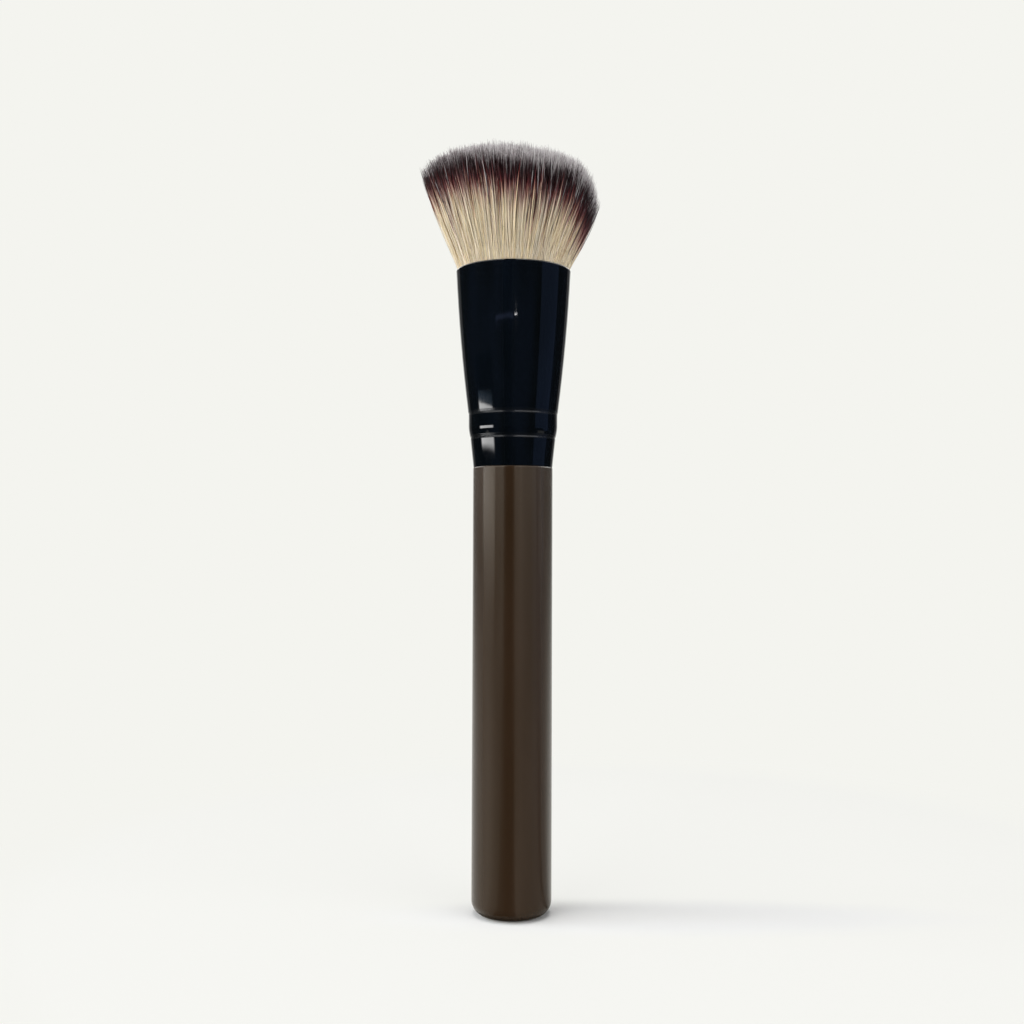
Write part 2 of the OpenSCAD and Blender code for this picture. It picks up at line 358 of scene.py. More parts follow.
@dataclass(frozen=True)
class DyedFilament:
    """Cream synthetic filament, dip-dyed in a dark burgundy band below its pale tip, with painted
    shade that darkens the cream towards the ferrule's lip.

    The map runs along the filament in its second coordinate, one at the tip, and gives each
    filament one of the shade columns in its first, so that neighbours differ a little.
    """

    name: str = "tapered_polyester_filament_dip_dyed"
    map_name: str = "OFBake"
    columns: int = 64
    span_mm: float = 36.0
    roughness: float = 0.4
    # Distance from the tip in millimetres, and the colour there: the dye, except that the cream
    # darkens at 24 and 34 mm, towards the ferrule's lip, which is painted shade
    bands: tuple[tuple[float, str], ...] = (
        (34.0, "#dcc8a0"),
        (24.0, "#f2dfb8"),
        (15.0, "#ffeec6"),
        (11.8, "#f0d8b4"),
        (9.9, "#bf8c78"),
        (8.2, "#76302e"),
        (6.6, "#4a1517"),
        (5.0, "#2d0c0f"),
        (3.9, "#240a0d"),
        (3.0, "#4e3b3f"),
        (1.8, "#9b9192"),
        (0.0, "#cac6c4"),
    )

    def along(self, distance_mm: np.ndarray | float) -> np.ndarray | float:
        """Turns a distance from the tip into the map's second coordinate."""
        return 1.0 - distance_mm / self.span_mm

    def material(self) -> bpy.types.Material:
        """Builds the filament's material."""
        material, tree = new_material(self.name)
        chart = add_node(tree, "UVMap", uv_map=self.map_name)
        parts = add_node(tree, "SeparateXYZ", {"Vector": chart.outputs[0]})
        # The ramp holds the dye and, near the root, painted shade
        dye_and_root_shade = add_node(tree, "ValToRGB", {"Fac": parts.outputs["Y"]})
        set_ramp(dye_and_root_shade, [(float(self.along(d)), linear(c)) for d, c in self.bands])
        scaled = maths(tree, "MULTIPLY", parts.outputs["X"], float(self.columns))
        column = maths(tree, "FLOOR", scaled)
        chance = add_node(tree, "TexWhiteNoise", {"W": column}, noise_dimensions="1D")
        draws = add_node(tree, "SeparateColor", {"Color": chance.outputs["Color"]}).outputs
        value, hue, depth = (
            add_node(tree, "MapRange", {"Value": draw, "To Min": low, "To Max": high})
            for draw, low, high in (
                (draws["Red"], 0.84, 1.1), (draws["Green"], 0.487, 0.509),
                (draws["Blue"], 0.62, 1.04),
            )
        )
        toned = add_node(
            tree, "HueSaturation",
            {"Hue": hue.outputs["Result"], "Saturation": depth.outputs["Result"],
             "Value": value.outputs["Result"], "Color": dye_and_root_shade.outputs["Color"]},
        )
        skin = add_node(
            tree, "BsdfPrincipled",
            {"Base Color": toned.outputs["Color"], "Roughness": self.roughness, "IOR": 1.5},
        )
        add_node(tree, "OutputMaterial", {"Surface": skin.outputs[0]})
        return material


@dataclass(frozen=True)
class HiddenFinish:
    """Plain finish of a piece inside the ferrule: two tones mixed by a fine noise."""

    name: str
    dark: str
    light: str
    roughness: float
    grain_mm: float
    squash: float = 1.0

    def material(self) -> bpy.types.Material:
        """Builds the finish's material."""
        material, tree = new_material(self.name)
        place = add_node(tree, "TexCoord").outputs["Object"]
        laid = add_node(tree, "Mapping", {"Vector": place, "Scale": (1.0, 1.0, self.squash)})
        grain = add_node(
            tree, "TexNoise",
            {"Vector": laid.outputs[0], "Scale": 1.0 / (self.grain_mm * MM), "Detail": 3.0},
        )
        tone = add_node(tree, "ValToRGB", {"Fac": grain.outputs["Fac"]})
        set_ramp(tone, [(0.3, linear(self.dark)), (0.7, linear(self.light))])
        bump = add_node(
            tree, "Bump",
            {"Height": grain.outputs["Fac"], "Strength": 0.3, "Distance": 0.05 * MM},
        )
        skin = add_node(
            tree, "BsdfPrincipled",
            {"Base Color": tone.outputs["Color"], "Roughness": self.roughness,
             "Normal": bump.outputs["Normal"]},
        )
        add_node(tree, "OutputMaterial", {"Surface": skin.outputs[0]})
        return material


@dataclass
class CarriedNodes:
    """CAD nodes whose shapes are right and which only get their finishes."""

    finishes: dict[str, TurnedLacquer | BlackGlossCoat | HiddenFinish] = field(
        default_factory=lambda: {
            "handle": TurnedLacquer(),
            "ferrule": BlackGlossCoat(),
            "tenon_glue": HiddenFinish("cured_epoxy_glue", "#b8a064", "#cdb67c", 0.35, 1.5),
            "resin_plug": HiddenFinish("cast_epoxy_resin", "#a98443", "#bd9a5a", 0.3, 2.5),
            "binding_thread": HiddenFinish(
                "twisted_polyester_thread", "#c9c2ae", "#e6e0d0", 0.8, 0.12, 6.0
            ),
        }
    )

    def dress(self) -> None:
        """Puts each node's finish in all of its material slots."""
        for name, finish in self.finishes.items():
            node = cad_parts[name]
            material = finish.material()
            for slot in node.material_slots:
                slot.material = material
            log.info("%s: %s", name, finish.name)


@dataclass
class Tuft:
    """Tuft of tapered filaments that fan out of the ferrule and end in a slanting, domed cut.

    A filament starts inside the mouth on a disc of radius one, at point p. At a height h above
    the mouth it stands at p times R(h), the tuft's radius there, drawn towards the middle of
    its lock as it rises.
    """

    finish: DyedFilament = field(default_factory=DyedFilament)
    strands: int = 24000
    locks: int = 2200
    pieces: int = 6
    seed: int = 11
    # How far the filaments go down into the ferrule
    sunk: float = 3.0
    # From the ferrule's outside at its lip in to the outermost filaments' middles, and how much
    # the tuft narrows below it for each millimetre down
    lip_gap: float = 0.5
    throat_slope: float = 0.07
    # Scatter of the filaments' feet and of the locks' middles, as shares of their spacing
    foot_scatter: float = 0.35
    lock_scatter: float = 0.25
    # Flare: factors of the height above the mouth, of its square and of its cube
    flare: Triple = (0.3268, 0.0112, -0.00036)
    # Lean of the whole tuft towards +X, reached at a height of lean_height
    lean: float = 0.5
    lean_height: float = 12.0
    # Rim of the cut in the middle plane, rise of the dome above it, and the dome's power
    rim: float = 20.6
    dome: float = 6.1
    dome_power: float = 2.6
    # Fall of the cut from the middle to the rim towards +X, and the rounding of the shoulder on
    # that side, which starts at shoulder_start of the radius
    fall: float = 1.64
    shoulder: float = 4.6
    shoulder_start: float = 0.53
    # Radius of a filament, the length over which it tapers, and the share left at its tip
    radius: float = 0.095
    taper: float = 9.0
    tip_share: float = 0.16
    # Heights of the rings of a filament as shares of its height above the mouth
    shares: tuple[float, ...] = (0.0, 0.2, 0.42, 0.62, 0.78, 0.9, 1.0)
    # Raggedness of the cut by lock and by filament; sideways lean by lock and by filament, which
    # grows with this power of the height; sideways bow; the most that either may be; and how
    # much the filaments are drawn to the middle of their lock, from which share of their height
    lock_ragged: float = 0.4
    strand_ragged: float = 0.5
    lock_lean: float = 0.15
    strand_lean: float = 0.44
    lean_power: float = 1.6
    strand_bow: float = 0.46
    most_lean: float = 0.8
    gather: float = 0.34
    gather_start: float = 0.55
    # Share of short filaments, whose pale points show against the band, and the most they lack
    short_share: float = 0.13
    short_by: float = 6.0
    # Shift of the dyed band along the filament, by lock and by filament
    lock_shift: float = 0.4
    strand_shift: float = 1.2
    # Share of the filaments whose band is shifted the other way by up to late_shift, and the
    # least share of it
    late_share: float = 0.07
    late_shift: float = -7.5
    late_least: float = 0.3
    # How much more of the pale tips was trimmed off round the rim, the power that keeps it there,
    # and how much more at the high side
    rim_trim: float = 2.0
    rim_power: int = 6
    high_trim: float = 1.3
    # Share of stray filaments, how far out they start, and how far they stand out of the tuft
    stray_share: float = 0.004
    stray_start: float = 0.9
    stray_out: float = 0.9

    def __post_init__(self) -> None:
        """Takes the mouth's height and radius from the ferrule."""
        low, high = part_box("ferrule")
        self.mouth = high.z / MM
        self.lip_radius = (high.x - low.x) / 2.0 / MM

    @staticmethod
    def sunflower(count: int) -> np.ndarray:
        """Spreads points evenly over a disc of radius one.

        Point i lies at radius sqrt((i + 0.5) / count) and i golden angles round.

        Args:
            count: number of points.
        Returns:
            count by two.
        """
        i = np.arange(count)
        radius = np.sqrt((i + 0.5) / count)
        return np.stack([radius * np.cos(i * GOLDEN_ANGLE), radius * np.sin(i * GOLDEN_ANGLE)], 1)

    @staticmethod
    def nearest(points: np.ndarray, centres: np.ndarray) -> np.ndarray:
        """Finds the nearest centre to each point, a thousand points at a time.

        Args:
            points: many by two.
            centres: some by two.
        Returns:
            Number of the nearest centre for each point.
        """
        found = [
            np.argmin(((part[:, None] - centres[None]) ** 2).sum(axis=2), axis=1)
            for part in np.array_split(points, max(1, len(points) // 1000))
        ]
        return np.concatenate(found)

    def spread(self, height: np.ndarray) -> np.ndarray:
        """Gives the tuft's radius at a height above the mouth, in millimetres.

        Below the mouth it narrows with the ferrule; above, it is r + a h + b h ** 2 + c h ** 3.
        """
        start = self.lip_radius - self.lip_gap
        a, b, c = self.flare
        above = start + height * (a + height * (b + height * c))
        return np.where(height < 0.0, start + self.throat_slope * height, above)

    def cut(self, foot: np.ndarray) -> np.ndarray:
        """Gives the height of the tips above the mouth for filaments that start at a foot (x, y).

        With o the distance of the foot from the middle of the disc of radius one, it is
        rim + dome (1 - o ** dome_power) - fall x - shoulder t ** 2, where t runs from 0 at
        x = shoulder_start to 1 at x = 1.

        Args:
            foot: filaments by two.
        Returns:
            Height of each tip in millimetres.
        """
        x = foot[:, 0]
        out = np.linalg.norm(foot, axis=1)
        side = np.clip((x - self.shoulder_start) / (1.0 - self.shoulder_start), 0.0, 1.0)
        dome = self.rim + self.dome * (1.0 - out ** self.dome_power)
        return dome - self.fall * x - self.shoulder * side ** 2

    def paths(self) -> tuple[np.ndarray, np.ndarray]:
        """Works out the middle line of every filament.

        Returns:
            Points, filaments by rings by three, in millimetres above the mouth's middle, and the
            shift of each filament's dyed band in millimetres.
        """
        rng = np.random.default_rng(self.seed)
        spacing = 1.0 / math.sqrt(self.strands)
        foot = self.sunflower(self.strands) + rng.normal(
            0.0, self.foot_scatter * spacing, (self.strands, 2)
        )
        foot /= np.maximum(1.0, np.linalg.norm(foot, axis=1))[:, None]
        centre = self.sunflower(self.locks)
        centre = centre + rng.normal(0.0, self.lock_scatter / math.sqrt(self.locks), centre.shape)
        lock = self.nearest(foot, centre)

        out = np.linalg.norm(foot, axis=1)
        height = self.cut(foot) + rng.normal(0.0, self.lock_ragged, self.locks)[lock]
        height = height - np.abs(rng.normal(0.0, self.strand_ragged, self.strands))
        short = rng.random(self.strands) < self.short_share
        height = height - self.short_by * short * rng.random(self.strands)

        share = np.array(self.shares)
        rise = height[:, None] * share[None]
        rise = np.concatenate([np.full((self.strands, 1), -self.sunk), rise], axis=1)
        share = np.concatenate([[0.0], share])

        high = np.clip((share - self.gather_start) / (1.0 - self.gather_start), 0.0, 1.0)
        pull = self.gather * high
        plan = foot[:, None] + pull[None, :, None] * (centre[lock] - foot)[:, None]
        plan = plan * self.spread(rise)[..., None]
        lean = rng.normal(0.0, self.lock_lean, (self.locks, 2))[lock]
        lean = lean + rng.normal(0.0, self.strand_lean, (self.strands, 2))
        lean = np.clip(lean, -self.most_lean, self.most_lean)
        stray = (rng.random(self.strands) < self.stray_share) & (out > self.stray_start)
        lean = lean + (stray * self.stray_out * rng.random(self.strands))[:, None] * foot
        plan = plan + lean[:, None] * (share ** self.lean_power)[None, :, None]
        bow = rng.normal(0.0, self.strand_bow, (self.strands, 1, 2))
        bow = np.clip(bow, -self.most_lean, self.most_lean)
        plan = plan + bow * np.sin(math.pi * share)[None, :, None]
        plan[..., 0] += self.lean * np.clip(rise / self.lean_height, 0.0, 1.0)
        shift = rng.normal(0.0, self.lock_shift, self.locks)[lock]
        shift = shift + rng.normal(0.0, self.strand_shift, self.strands)
        late = rng.random(self.strands) < self.late_share
        part = self.late_least + (1.0 - self.late_least) * rng.random(self.strands)
        shift = shift + self.late_shift * late * part
        rim = self.rim_trim * out ** self.rim_power
        shift = shift + rim - self.high_trim * foot[:, 0] * out ** 2
        return np.concatenate([plan, rise[..., None]], axis=2), shift

    def tubes(self, line: np.ndarray) -> tuple[np.ndarray, np.ndarray]:
        """Sweeps a three-sided section along every line.

        Corner k of a ring stands at the line's point plus r (cos a e + sin a f), where e and f
        are square to the line and to each other, and a is a third of a turn times k.

        Args:
            line: filaments by rings by three.
        Returns:
            Corners, filaments by rings by three by three, and the distance from each ring to the
            tip along the filament.
        """
        step = np.linalg.norm(np.diff(line, axis=1), axis=2)
        to_tip = np.concatenate(
            [np.cumsum(step[:, ::-1], axis=1)[:, ::-1], np.zeros((len(line), 1))], axis=1
        )
        ahead = np.gradient(line, axis=1)
        ahead /= np.linalg.norm(ahead, axis=2, keepdims=True)
        side = np.cross(ahead, np.array([1.0, 0.0, 0.0]))
        side /= np.linalg.norm(side, axis=2, keepdims=True)
        across = np.cross(ahead, side)
        thin = np.clip(to_tip / self.taper, 0.0, 1.0)
        radius = self.radius * (self.tip_share + (1.0 - self.tip_share) * np.sqrt(thin))
        turn = (np.arange(len(line)) * GOLDEN_ANGLE)[:, None] + np.arange(3) * (2.0 * math.pi / 3.0)
        ring = (
            np.cos(turn)[:, None, :, None] * side[:, :, None]
            + np.sin(turn)[:, None, :, None] * across[:, :, None]
        )
        return line[:, :, None] + radius[..., None, None] * ring, to_tip

    def faces(self, count: int, rings: int) -> tuple[np.ndarray, np.ndarray]:
        """Lists the corners of every side and end.

        Args:
            count: number of filaments.
            rings: number of rings in each.
        Returns:
            Sides, as quads, and ends, as triangles, both by the corners' numbers.
        """
        base = (np.arange(count) * rings * 3)[:, None, None]
        ring = (np.arange(rings - 1) * 3)[None, :, None]
        k = np.arange(3)[None, None]
        after = (k + 1) % 3
        sides = np.stack(
            [base + ring + k, base + ring + after, base + ring + 3 + after, base + ring + 3 + k],
            axis=-1,
        )
        first = np.arange(count) * rings * 3
        last = first + (rings - 1) * 3
        ends = np.stack([
            np.stack([first + 2, first + 1, first], axis=1),
            np.stack([last, last + 1, last + 2], axis=1),
        ], axis=1)
        return sides.reshape(-1, 4), ends.reshape(-1, 3)

    def chart(self, to_tip: np.ndarray, shift: np.ndarray, column: np.ndarray) -> np.ndarray:
        """Lays every side and end out on the filaments' map.

        A side spans a third of its filament's column, between the distances of its two rings
        from the tip, and an end is a small triangle at its ring.

        Args:
            to_tip: distance of each ring from the tip.
            shift: shift of each filament's dyed band.
            column: shade column of each filament.
        Returns:
            Map coordinates of all the faces' corners in order, sides first.
        """
        width = 1.0 / self.finish.columns
        along = np.clip(self.finish.along(to_tip + shift[:, None]), *MAP_ENDS)
        left = (column * width + COLUMN_MARGIN * width)[:, None, None]
        u0 = left + COLUMN_USED * width * np.arange(3)[None, None] / 3.0
        u1 = u0 + COLUMN_USED * width / 3.0
        v0 = along[:, :-1, None]
        v1 = np.maximum(along[:, 1:, None], v0 + LEAST_SIDE)
        u0, u1, v0, v1 = np.broadcast_arrays(u0, u1, v0, v1)
        sides = np.stack(
            [np.stack([u0, v0], -1), np.stack([u1, v0], -1),
             np.stack([u1, v1], -1), np.stack([u0, v1], -1)], axis=3,
        )
        corner = np.array([
            [0.0, 0.0], [COLUMN_USED * width, 0.0], [0.5 * COLUMN_USED * width, END_LENGTH]
        ])
        start = np.stack([left[:, 0, 0], along[:, 0]], axis=1)
        end = np.stack([left[:, 0, 0], along[:, -1]], axis=1)
        ends = np.stack([start, end], axis=1)[:, :, None] + corner[None, None]
        return np.concatenate([sides.reshape(-1, 2), ends.reshape(-1, 2)])

    def mesh(
        self, name: str, line: np.ndarray, shift: np.ndarray, column: np.ndarray
    ) -> bpy.types.Mesh:
        """Makes one mesh of filaments with their map.

        Args:
            name: the mesh's name.
            line: middle lines, in millimetres above the mouth's middle.
            shift: shift of each filament's dyed band.
            column: shade column of each filament.
        Returns:
            The mesh, in metres and in place.
        """
        corners, to_tip = self.tubes(line)
        corners = (corners + np.array([0.0, 0.0, self.mouth])) * MM
        sides, ends = self.faces(len(line), line.shape[1])
        mesh = bpy.data.meshes.new(name)
        mesh.vertices.add(corners.size // 3)
        mesh.vertices.foreach_set("co", corners.ravel())
        loops = np.concatenate([sides.ravel(), ends.ravel()])
        mesh.loops.add(len(loops))
        mesh.loops.foreach_set("vertex_index", loops)
        sizes = np.concatenate([np.full(len(sides), 4), np.full(len(ends), 3)])
        mesh.polygons.add(len(sizes))
        mesh.polygons.foreach_set("loop_start", np.concatenate([[0], np.cumsum(sizes)[:-1]]))
        mesh.update(calc_edges=True)
        mesh.shade_smooth()
        layer = mesh.uv_layers.new(name=self.finish.map_name)
        layer.data.foreach_set("uv", self.chart(to_tip, shift, column).ravel())
        return mesh

    def build(self) -> None:
        """Builds the filaments as a few pieces that stand for the CAD tuft."""
        line, shift = self.paths()
        column = np.random.default_rng(self.seed + 1).integers(0, self.finish.columns, self.strands)
        material = self.finish.material()
        for number in range(self.pieces):
            # The filaments are dealt out in turn, so that every piece covers the whole tuft
            chosen = np.arange(number, self.strands, self.pieces)
            mesh = self.mesh(f"filaments_{number}", line[chosen], shift[chosen], column[chosen])
            piece = new_piece(f"filaments_{number}", mesh, material)
            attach(piece, BODY)
            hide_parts("filament_tuft")
            log.info("%s: %d filaments", piece.name, len(chosen))


@dataclass(frozen=True)
class SoftBox:
    """Rectangular lamp that faces a point of the brush.

    It stands where its azimuth, its height and its distance say: azimuth 0 is the camera's
    side, and it grows towards +X. A lamp may be left out of reflections, or light only them.
    """

    name: str
    azimuth: float
    elevation: float
    distance: float
    width: float
    height: float
    radiance: float
    aim: float = 0.09
    colour: str = "#ffffff"
    mirrored: bool = True
    lights_matt: bool = True

    def build(self) -> None:
        """Adds the lamp, with the power that gives its radiance: pi times area times radiance."""
        turn, lift = math.radians(self.azimuth), math.radians(self.elevation)
        way = Vector(
            (math.sin(turn) * math.cos(lift), -math.cos(turn) * math.cos(lift), math.sin(lift))
        )
        lamp = bpy.data.lights.new(self.name, "AREA")
        lamp.shape = "RECTANGLE"
        lamp.size, lamp.size_y = self.width, self.height
        lamp.energy = self.radiance * math.pi * self.width * self.height
        lamp.color = linear(self.colour)[:3]
        holder = bpy.data.objects.new(self.name, lamp)
        holder.visible_camera = False
        holder.visible_glossy = self.mirrored
        holder.visible_diffuse = self.lights_matt
        aim = Vector((0.0, 0.0, self.aim))
        holder.matrix_world = (
            Matrix.Translation(aim + way * self.distance)
            @ way.to_track_quat("Z", "Y").to_matrix().to_4x4()
        )
        bpy.context.scene.collection.objects.link(holder)


@dataclass(frozen=True)
class Flag:
    """Black sheet on the floor, a wedge round the brush, which the camera and shadows never see.

    It is a painted dark reflection: it keeps part of the glossy handle dark, as the dark side of a
    room does. Where it blocks bounce light as well, it is painted shade on what faces it. Its
    points lie at a distance from the handle's axis and an azimuth. It follows the floor out to its
    reach, and where top_azimuths are given it stands up there, narrower, to its top.
    """

    name: str
    azimuths: tuple[float, float]
    start: float
    reach: float
    top: float = 0.0004
    top_azimuths: tuple[float, float] | None = None
    lift: float = 0.0004
    blocks_bounce: bool = False
    # Rows of the part that stands up, as shares of its height, and the share where it is narrow
    rows: tuple[float, ...] = (0.1, 0.3, 1.0)
    narrow_from: float = 0.3

    def build(self) -> None:
        """Adds the flag to the scene."""
        floor = np.linspace(self.start, self.reach, 6)
        distance = np.concatenate([floor, np.full(len(self.rows), self.reach)])
        rise = np.concatenate([np.zeros(len(floor)), self.rows])
        if self.top_azimuths is None:
            distance, rise = floor, np.zeros(len(floor))
        height = self.lift + (self.top - self.lift) * rise
        narrow = np.clip(rise / self.narrow_from, 0.0, 1.0)[None]
        across = np.linspace(0.0, 1.0, 25)[:, None]
        low, high = (
            wide + (slim - wide) * narrow
            for wide, slim in zip(self.azimuths, self.top_azimuths or self.azimuths)
        )
        azimuth = np.radians(low + (high - low) * across)
        points = np.empty((*azimuth.shape, 3))
        points[..., 0] = np.sin(azimuth) * distance
        points[..., 1] = -np.cos(azimuth) * distance
        points[..., 2] = height
        # Near-black sheet: painted dark reflections, and painted contact shade where it blocks
        # bounce light
        material, tree = new_material("black_flag_painted_shade")
        painted_dark = add_node(tree, "BsdfDiffuse", {"Color": (0.003, 0.003, 0.003, 1.0)})
        add_node(tree, "OutputMaterial", {"Surface": painted_dark.outputs[0]})
        flag = new_piece(self.name, grid_mesh(self.name, points), material)
        flag.visible_camera = flag.visible_shadow = False
        flag.visible_diffuse = self.blocks_bounce


@dataclass
class Studio:
    """White sweep, soft boxes, black flags that paint dark reflections and contact shade, a glowing
    card that paints reflections, and the camera.
    """

    # The paper's plain colour, its lit albedo and how much of it blue keeps, and the dim room
    paper: str = "#f4f4ef"
    paper_albedo: float = 0.84
    paper_blue: float = 0.985
    room: float = 0.015
    # Half width of the paper, its front edge, where its bend starts, the bend's radius, and the
    # top of its wall, in metres
    sweep_width: float = 0.55
    front_edge: float = -0.16
    sweep_start: float = 0.9
    sweep_radius: float = 0.45
    wall_top: float = 1.6
    # Black sheets that paint dark reflections before the brush and at its right side, and under its
    # rounded end one that also blocks bounce light: painted contact shade
    flags: tuple[Flag, ...] = (
        Flag("front_flag", (-32.0, 8.0), 0.0092, 0.2, 0.3, (-21.0, -2.0)),
        Flag("side_flag", (79.0, 88.0), 0.0095, 0.35),
        Flag("contact_shade_flag", (-180.0, 180.0), 0.0061, 0.0088, blocks_bounce=True),
    )
    # Glowing card to the left, no lamp, which only reflections see: a painted reflection, the
    # bright patches on the ferrule.
    # Its distance and azimuths, the heights of its bright band and the top of the dim band above
    # it, its radiance, how far the lower and the upper edges rise per degree, and the dim band's
    # colour
    card_distance: float = 0.12
    card_azimuths: tuple[float, float] = (-94.0, -48.0)
    card_bright: tuple[float, float] = (0.0928, 0.1054)
    card_dim: float = 0.1135
    card_radiance: float = 10.0
    card_rise: tuple[float, float] = (0.00015, 0.0002)
    card_haze: str = "#8fa9c4"
    # Its margin above and below the bands, how soft the bright band's lower edge is, where its
    # upper edge starts and ends, the dim band's strength, and how soft the sides are in degrees
    card_margin: float = 0.012
    card_low_edge: float = 0.0026
    card_high_edge: tuple[float, float] = (0.0004, 0.0006)
    card_dim_strength: float = 0.36
    card_side_edge: float = 6.0
    # Middle and half widths of the patch of floor that keeps the shadow, and where it fades out,
    # as shares of those widths
    patch_middle: Triple = (0.02, 0.03, 0.0)
    patch_reach: Triple = (0.16, 0.16, 1.0)
    patch_fade: tuple[float, float] = (0.35, 1.0)
    # Middle and half widths of the strip to the right of the base that shows its shadow in full,
    # where it fades out, the share of plain colour over the rest of the patch, and its strength
    strip_middle: Triple = (0.035, -0.003, 0.0)
    strip_reach: Triple = (0.05, 0.0095, 1.0)
    strip_fade: tuple[float, float] = (0.6, 1.6)
    veil: float = 0.8
    veil_strength: float = 1.01
    # In reflections the paper is dimmer in front of the brush and to its right than behind it:
    # its strengths, the way it is brightest, and the cosines from that way where it changes
    mirror_strength: tuple[float, float] = (0.42, 0.95)
    mirror_way: Triple = (-0.5, 0.86, 0.0)
    mirror_turn: tuple[float, float] = (-0.4, 0.1)
    boxes: tuple[SoftBox, ...] = (
        SoftBox("left_bank", -55.0, 29.0, 1.8, 1.9, 1.1, 4.1),
        SoftBox("right_bank", 50.0, 29.0, 1.8, 1.6, 1.1, 3.0),
        SoftBox("overhead", 0.0, 84.0, 1.6, 1.5, 1.5, 1.6),
        SoftBox("left_key", -92.0, 33.0, 1.5, 0.5, 0.5, 7.0, 0.09, "#eef5ff", mirrored=False),
        SoftBox("front_right", 16.5, 29.0, 1.8, 0.6, 1.1, 3.2, lights_matt=False),
        SoftBox("front_fill", -8.0, 14.0, 1.0, 0.8, 0.5, 2.4, mirrored=False),
        SoftBox("left_back", -126.0, 30.0, 1.6, 2.0, 0.66, 5.0, lights_matt=False),
        SoftBox("right_back", 118.0, 30.0, 1.6, 2.2, 0.66, 4.6, lights_matt=False),
        SoftBox("left_wing", -148.0, 0.0, 1.2, 0.46, 0.9, 0.14, lights_matt=False),
        SoftBox("right_wing", 149.0, 0.0, 1.2, 0.42, 0.9, 0.14, lights_matt=False),
        SoftBox("right_window", 80.0, 3.0, 1.2, 0.95, 0.5, 0.24, 0.12, "#8fb0f4"),
        SoftBox("pilot_lamp", 5.0, 1.6, 0.19, 0.016, 0.0012, 45.0, 0.135),
        SoftBox("lens_hood", -18.0, 1.2, 0.19, 0.125, 0.006, 0.5, 0.135, "#a8bcf8"),
    )
    # Camera: a pinhole that was fitted to the photograph's outline of the brush
    camera_place: Triple = (-0.00016, -0.2625, 0.0835)
    camera_pitch: float = 1.4
    camera_roll: float = 0.2
    focal_pixels: float = 1160.0
    picture_pixels: float = 1024.0
    sensor: float = 36.0

    def paper_material(self) -> bpy.types.Material:
        """Builds matt white paper that turns to an even white away from the brush.

        Near the brush the paper is lit, so that it keeps the shadow. Towards the edge of an
        oval patch it fades to its plain colour, which the camera and reflections see.
        """
        material, tree = new_material("matt_white_paper")
        place = add_node(tree, "TexCoord").outputs["Object"]
        oval = add_node(
            tree, "Mapping",
            {"Vector": place, "Location": self.patch_middle, "Scale": self.patch_reach},
            vector_type="TEXTURE",
        )
        away = add_node(tree, "VectorMath", {0: oval.outputs[0]}, operation="LENGTH")
        fade = add_node(
            tree, "MapRange",
            {"Value": away.outputs["Value"], "From Min": self.patch_fade[0],
             "From Max": self.patch_fade[1]},
            interpolation_type="SMOOTHSTEP",
        )
        path = add_node(tree, "LightPath")
        # The camera sees part of the plain colour over the lit patch too, not so in the strip
        strip = add_node(
            tree, "Mapping",
            {"Vector": place, "Location": self.strip_middle, "Scale": self.strip_reach},
            vector_type="TEXTURE",
        )
        beside = add_node(tree, "VectorMath", {0: strip.outputs[0]}, operation="LENGTH")
        veil = add_node(
            tree, "MapRange",
            {"Value": beside.outputs["Value"], "From Min": self.strip_fade[0],
             "From Max": self.strip_fade[1], "To Max": self.veil},
            interpolation_type="SMOOTHSTEP",
        )
        plainer = maths(tree, "MAXIMUM", veil.outputs["Result"], fade.outputs["Result"])
        to_camera = maths(tree, "MULTIPLY", path.outputs["Is Camera Ray"], plainer)
        mirror = path.outputs["Is Glossy Ray"]
        share = maths(tree, "MAXIMUM", to_camera, mirror)
        seen = add_node(
            tree, "MapRange",
            {"Value": fade.outputs["Result"], "To Min": self.veil_strength, "To Max": 1.0},
        )
        flat = add_node(tree, "VectorMath", {0: place, 1: (1.0, 1.0, 0.0)}, operation="MULTIPLY")
        flat = add_node(tree, "VectorMath", {0: flat.outputs[0]}, operation="NORMALIZE")
        facing = add_node(
            tree, "VectorMath", {0: flat.outputs[0], 1: self.mirror_way}, operation="DOT_PRODUCT"
        )
        mirrored = add_node(
            tree, "MapRange",
            {"Value": facing.outputs["Value"],
             "From Min": self.mirror_turn[0], "From Max": self.mirror_turn[1],
             "To Min": self.mirror_strength[0], "To Max": self.mirror_strength[1]},
            interpolation_type="SMOOTHSTEP",
        )
        strength = add_node(
            tree, "MapRange",
            {"Value": mirror, "To Min": seen.outputs["Result"],
             "To Max": mirrored.outputs["Result"]},
        )
        lit = add_node(
            tree, "BsdfDiffuse",
            {"Color": (
                self.paper_albedo, self.paper_albedo, self.paper_albedo * self.paper_blue, 1.0
            )},
        )
        plain = add_node(
            tree, "Emission",
            {"Color": linear(self.paper), "Strength": strength.outputs["Result"]},
        )
        mixed = add_node(
            tree, "MixShader", {0: share, 1: lit.outputs[0], 2: plain.outputs[0]}
        )
        add_node(tree, "OutputMaterial", {"Surface": mixed.outputs[0]})
        return material

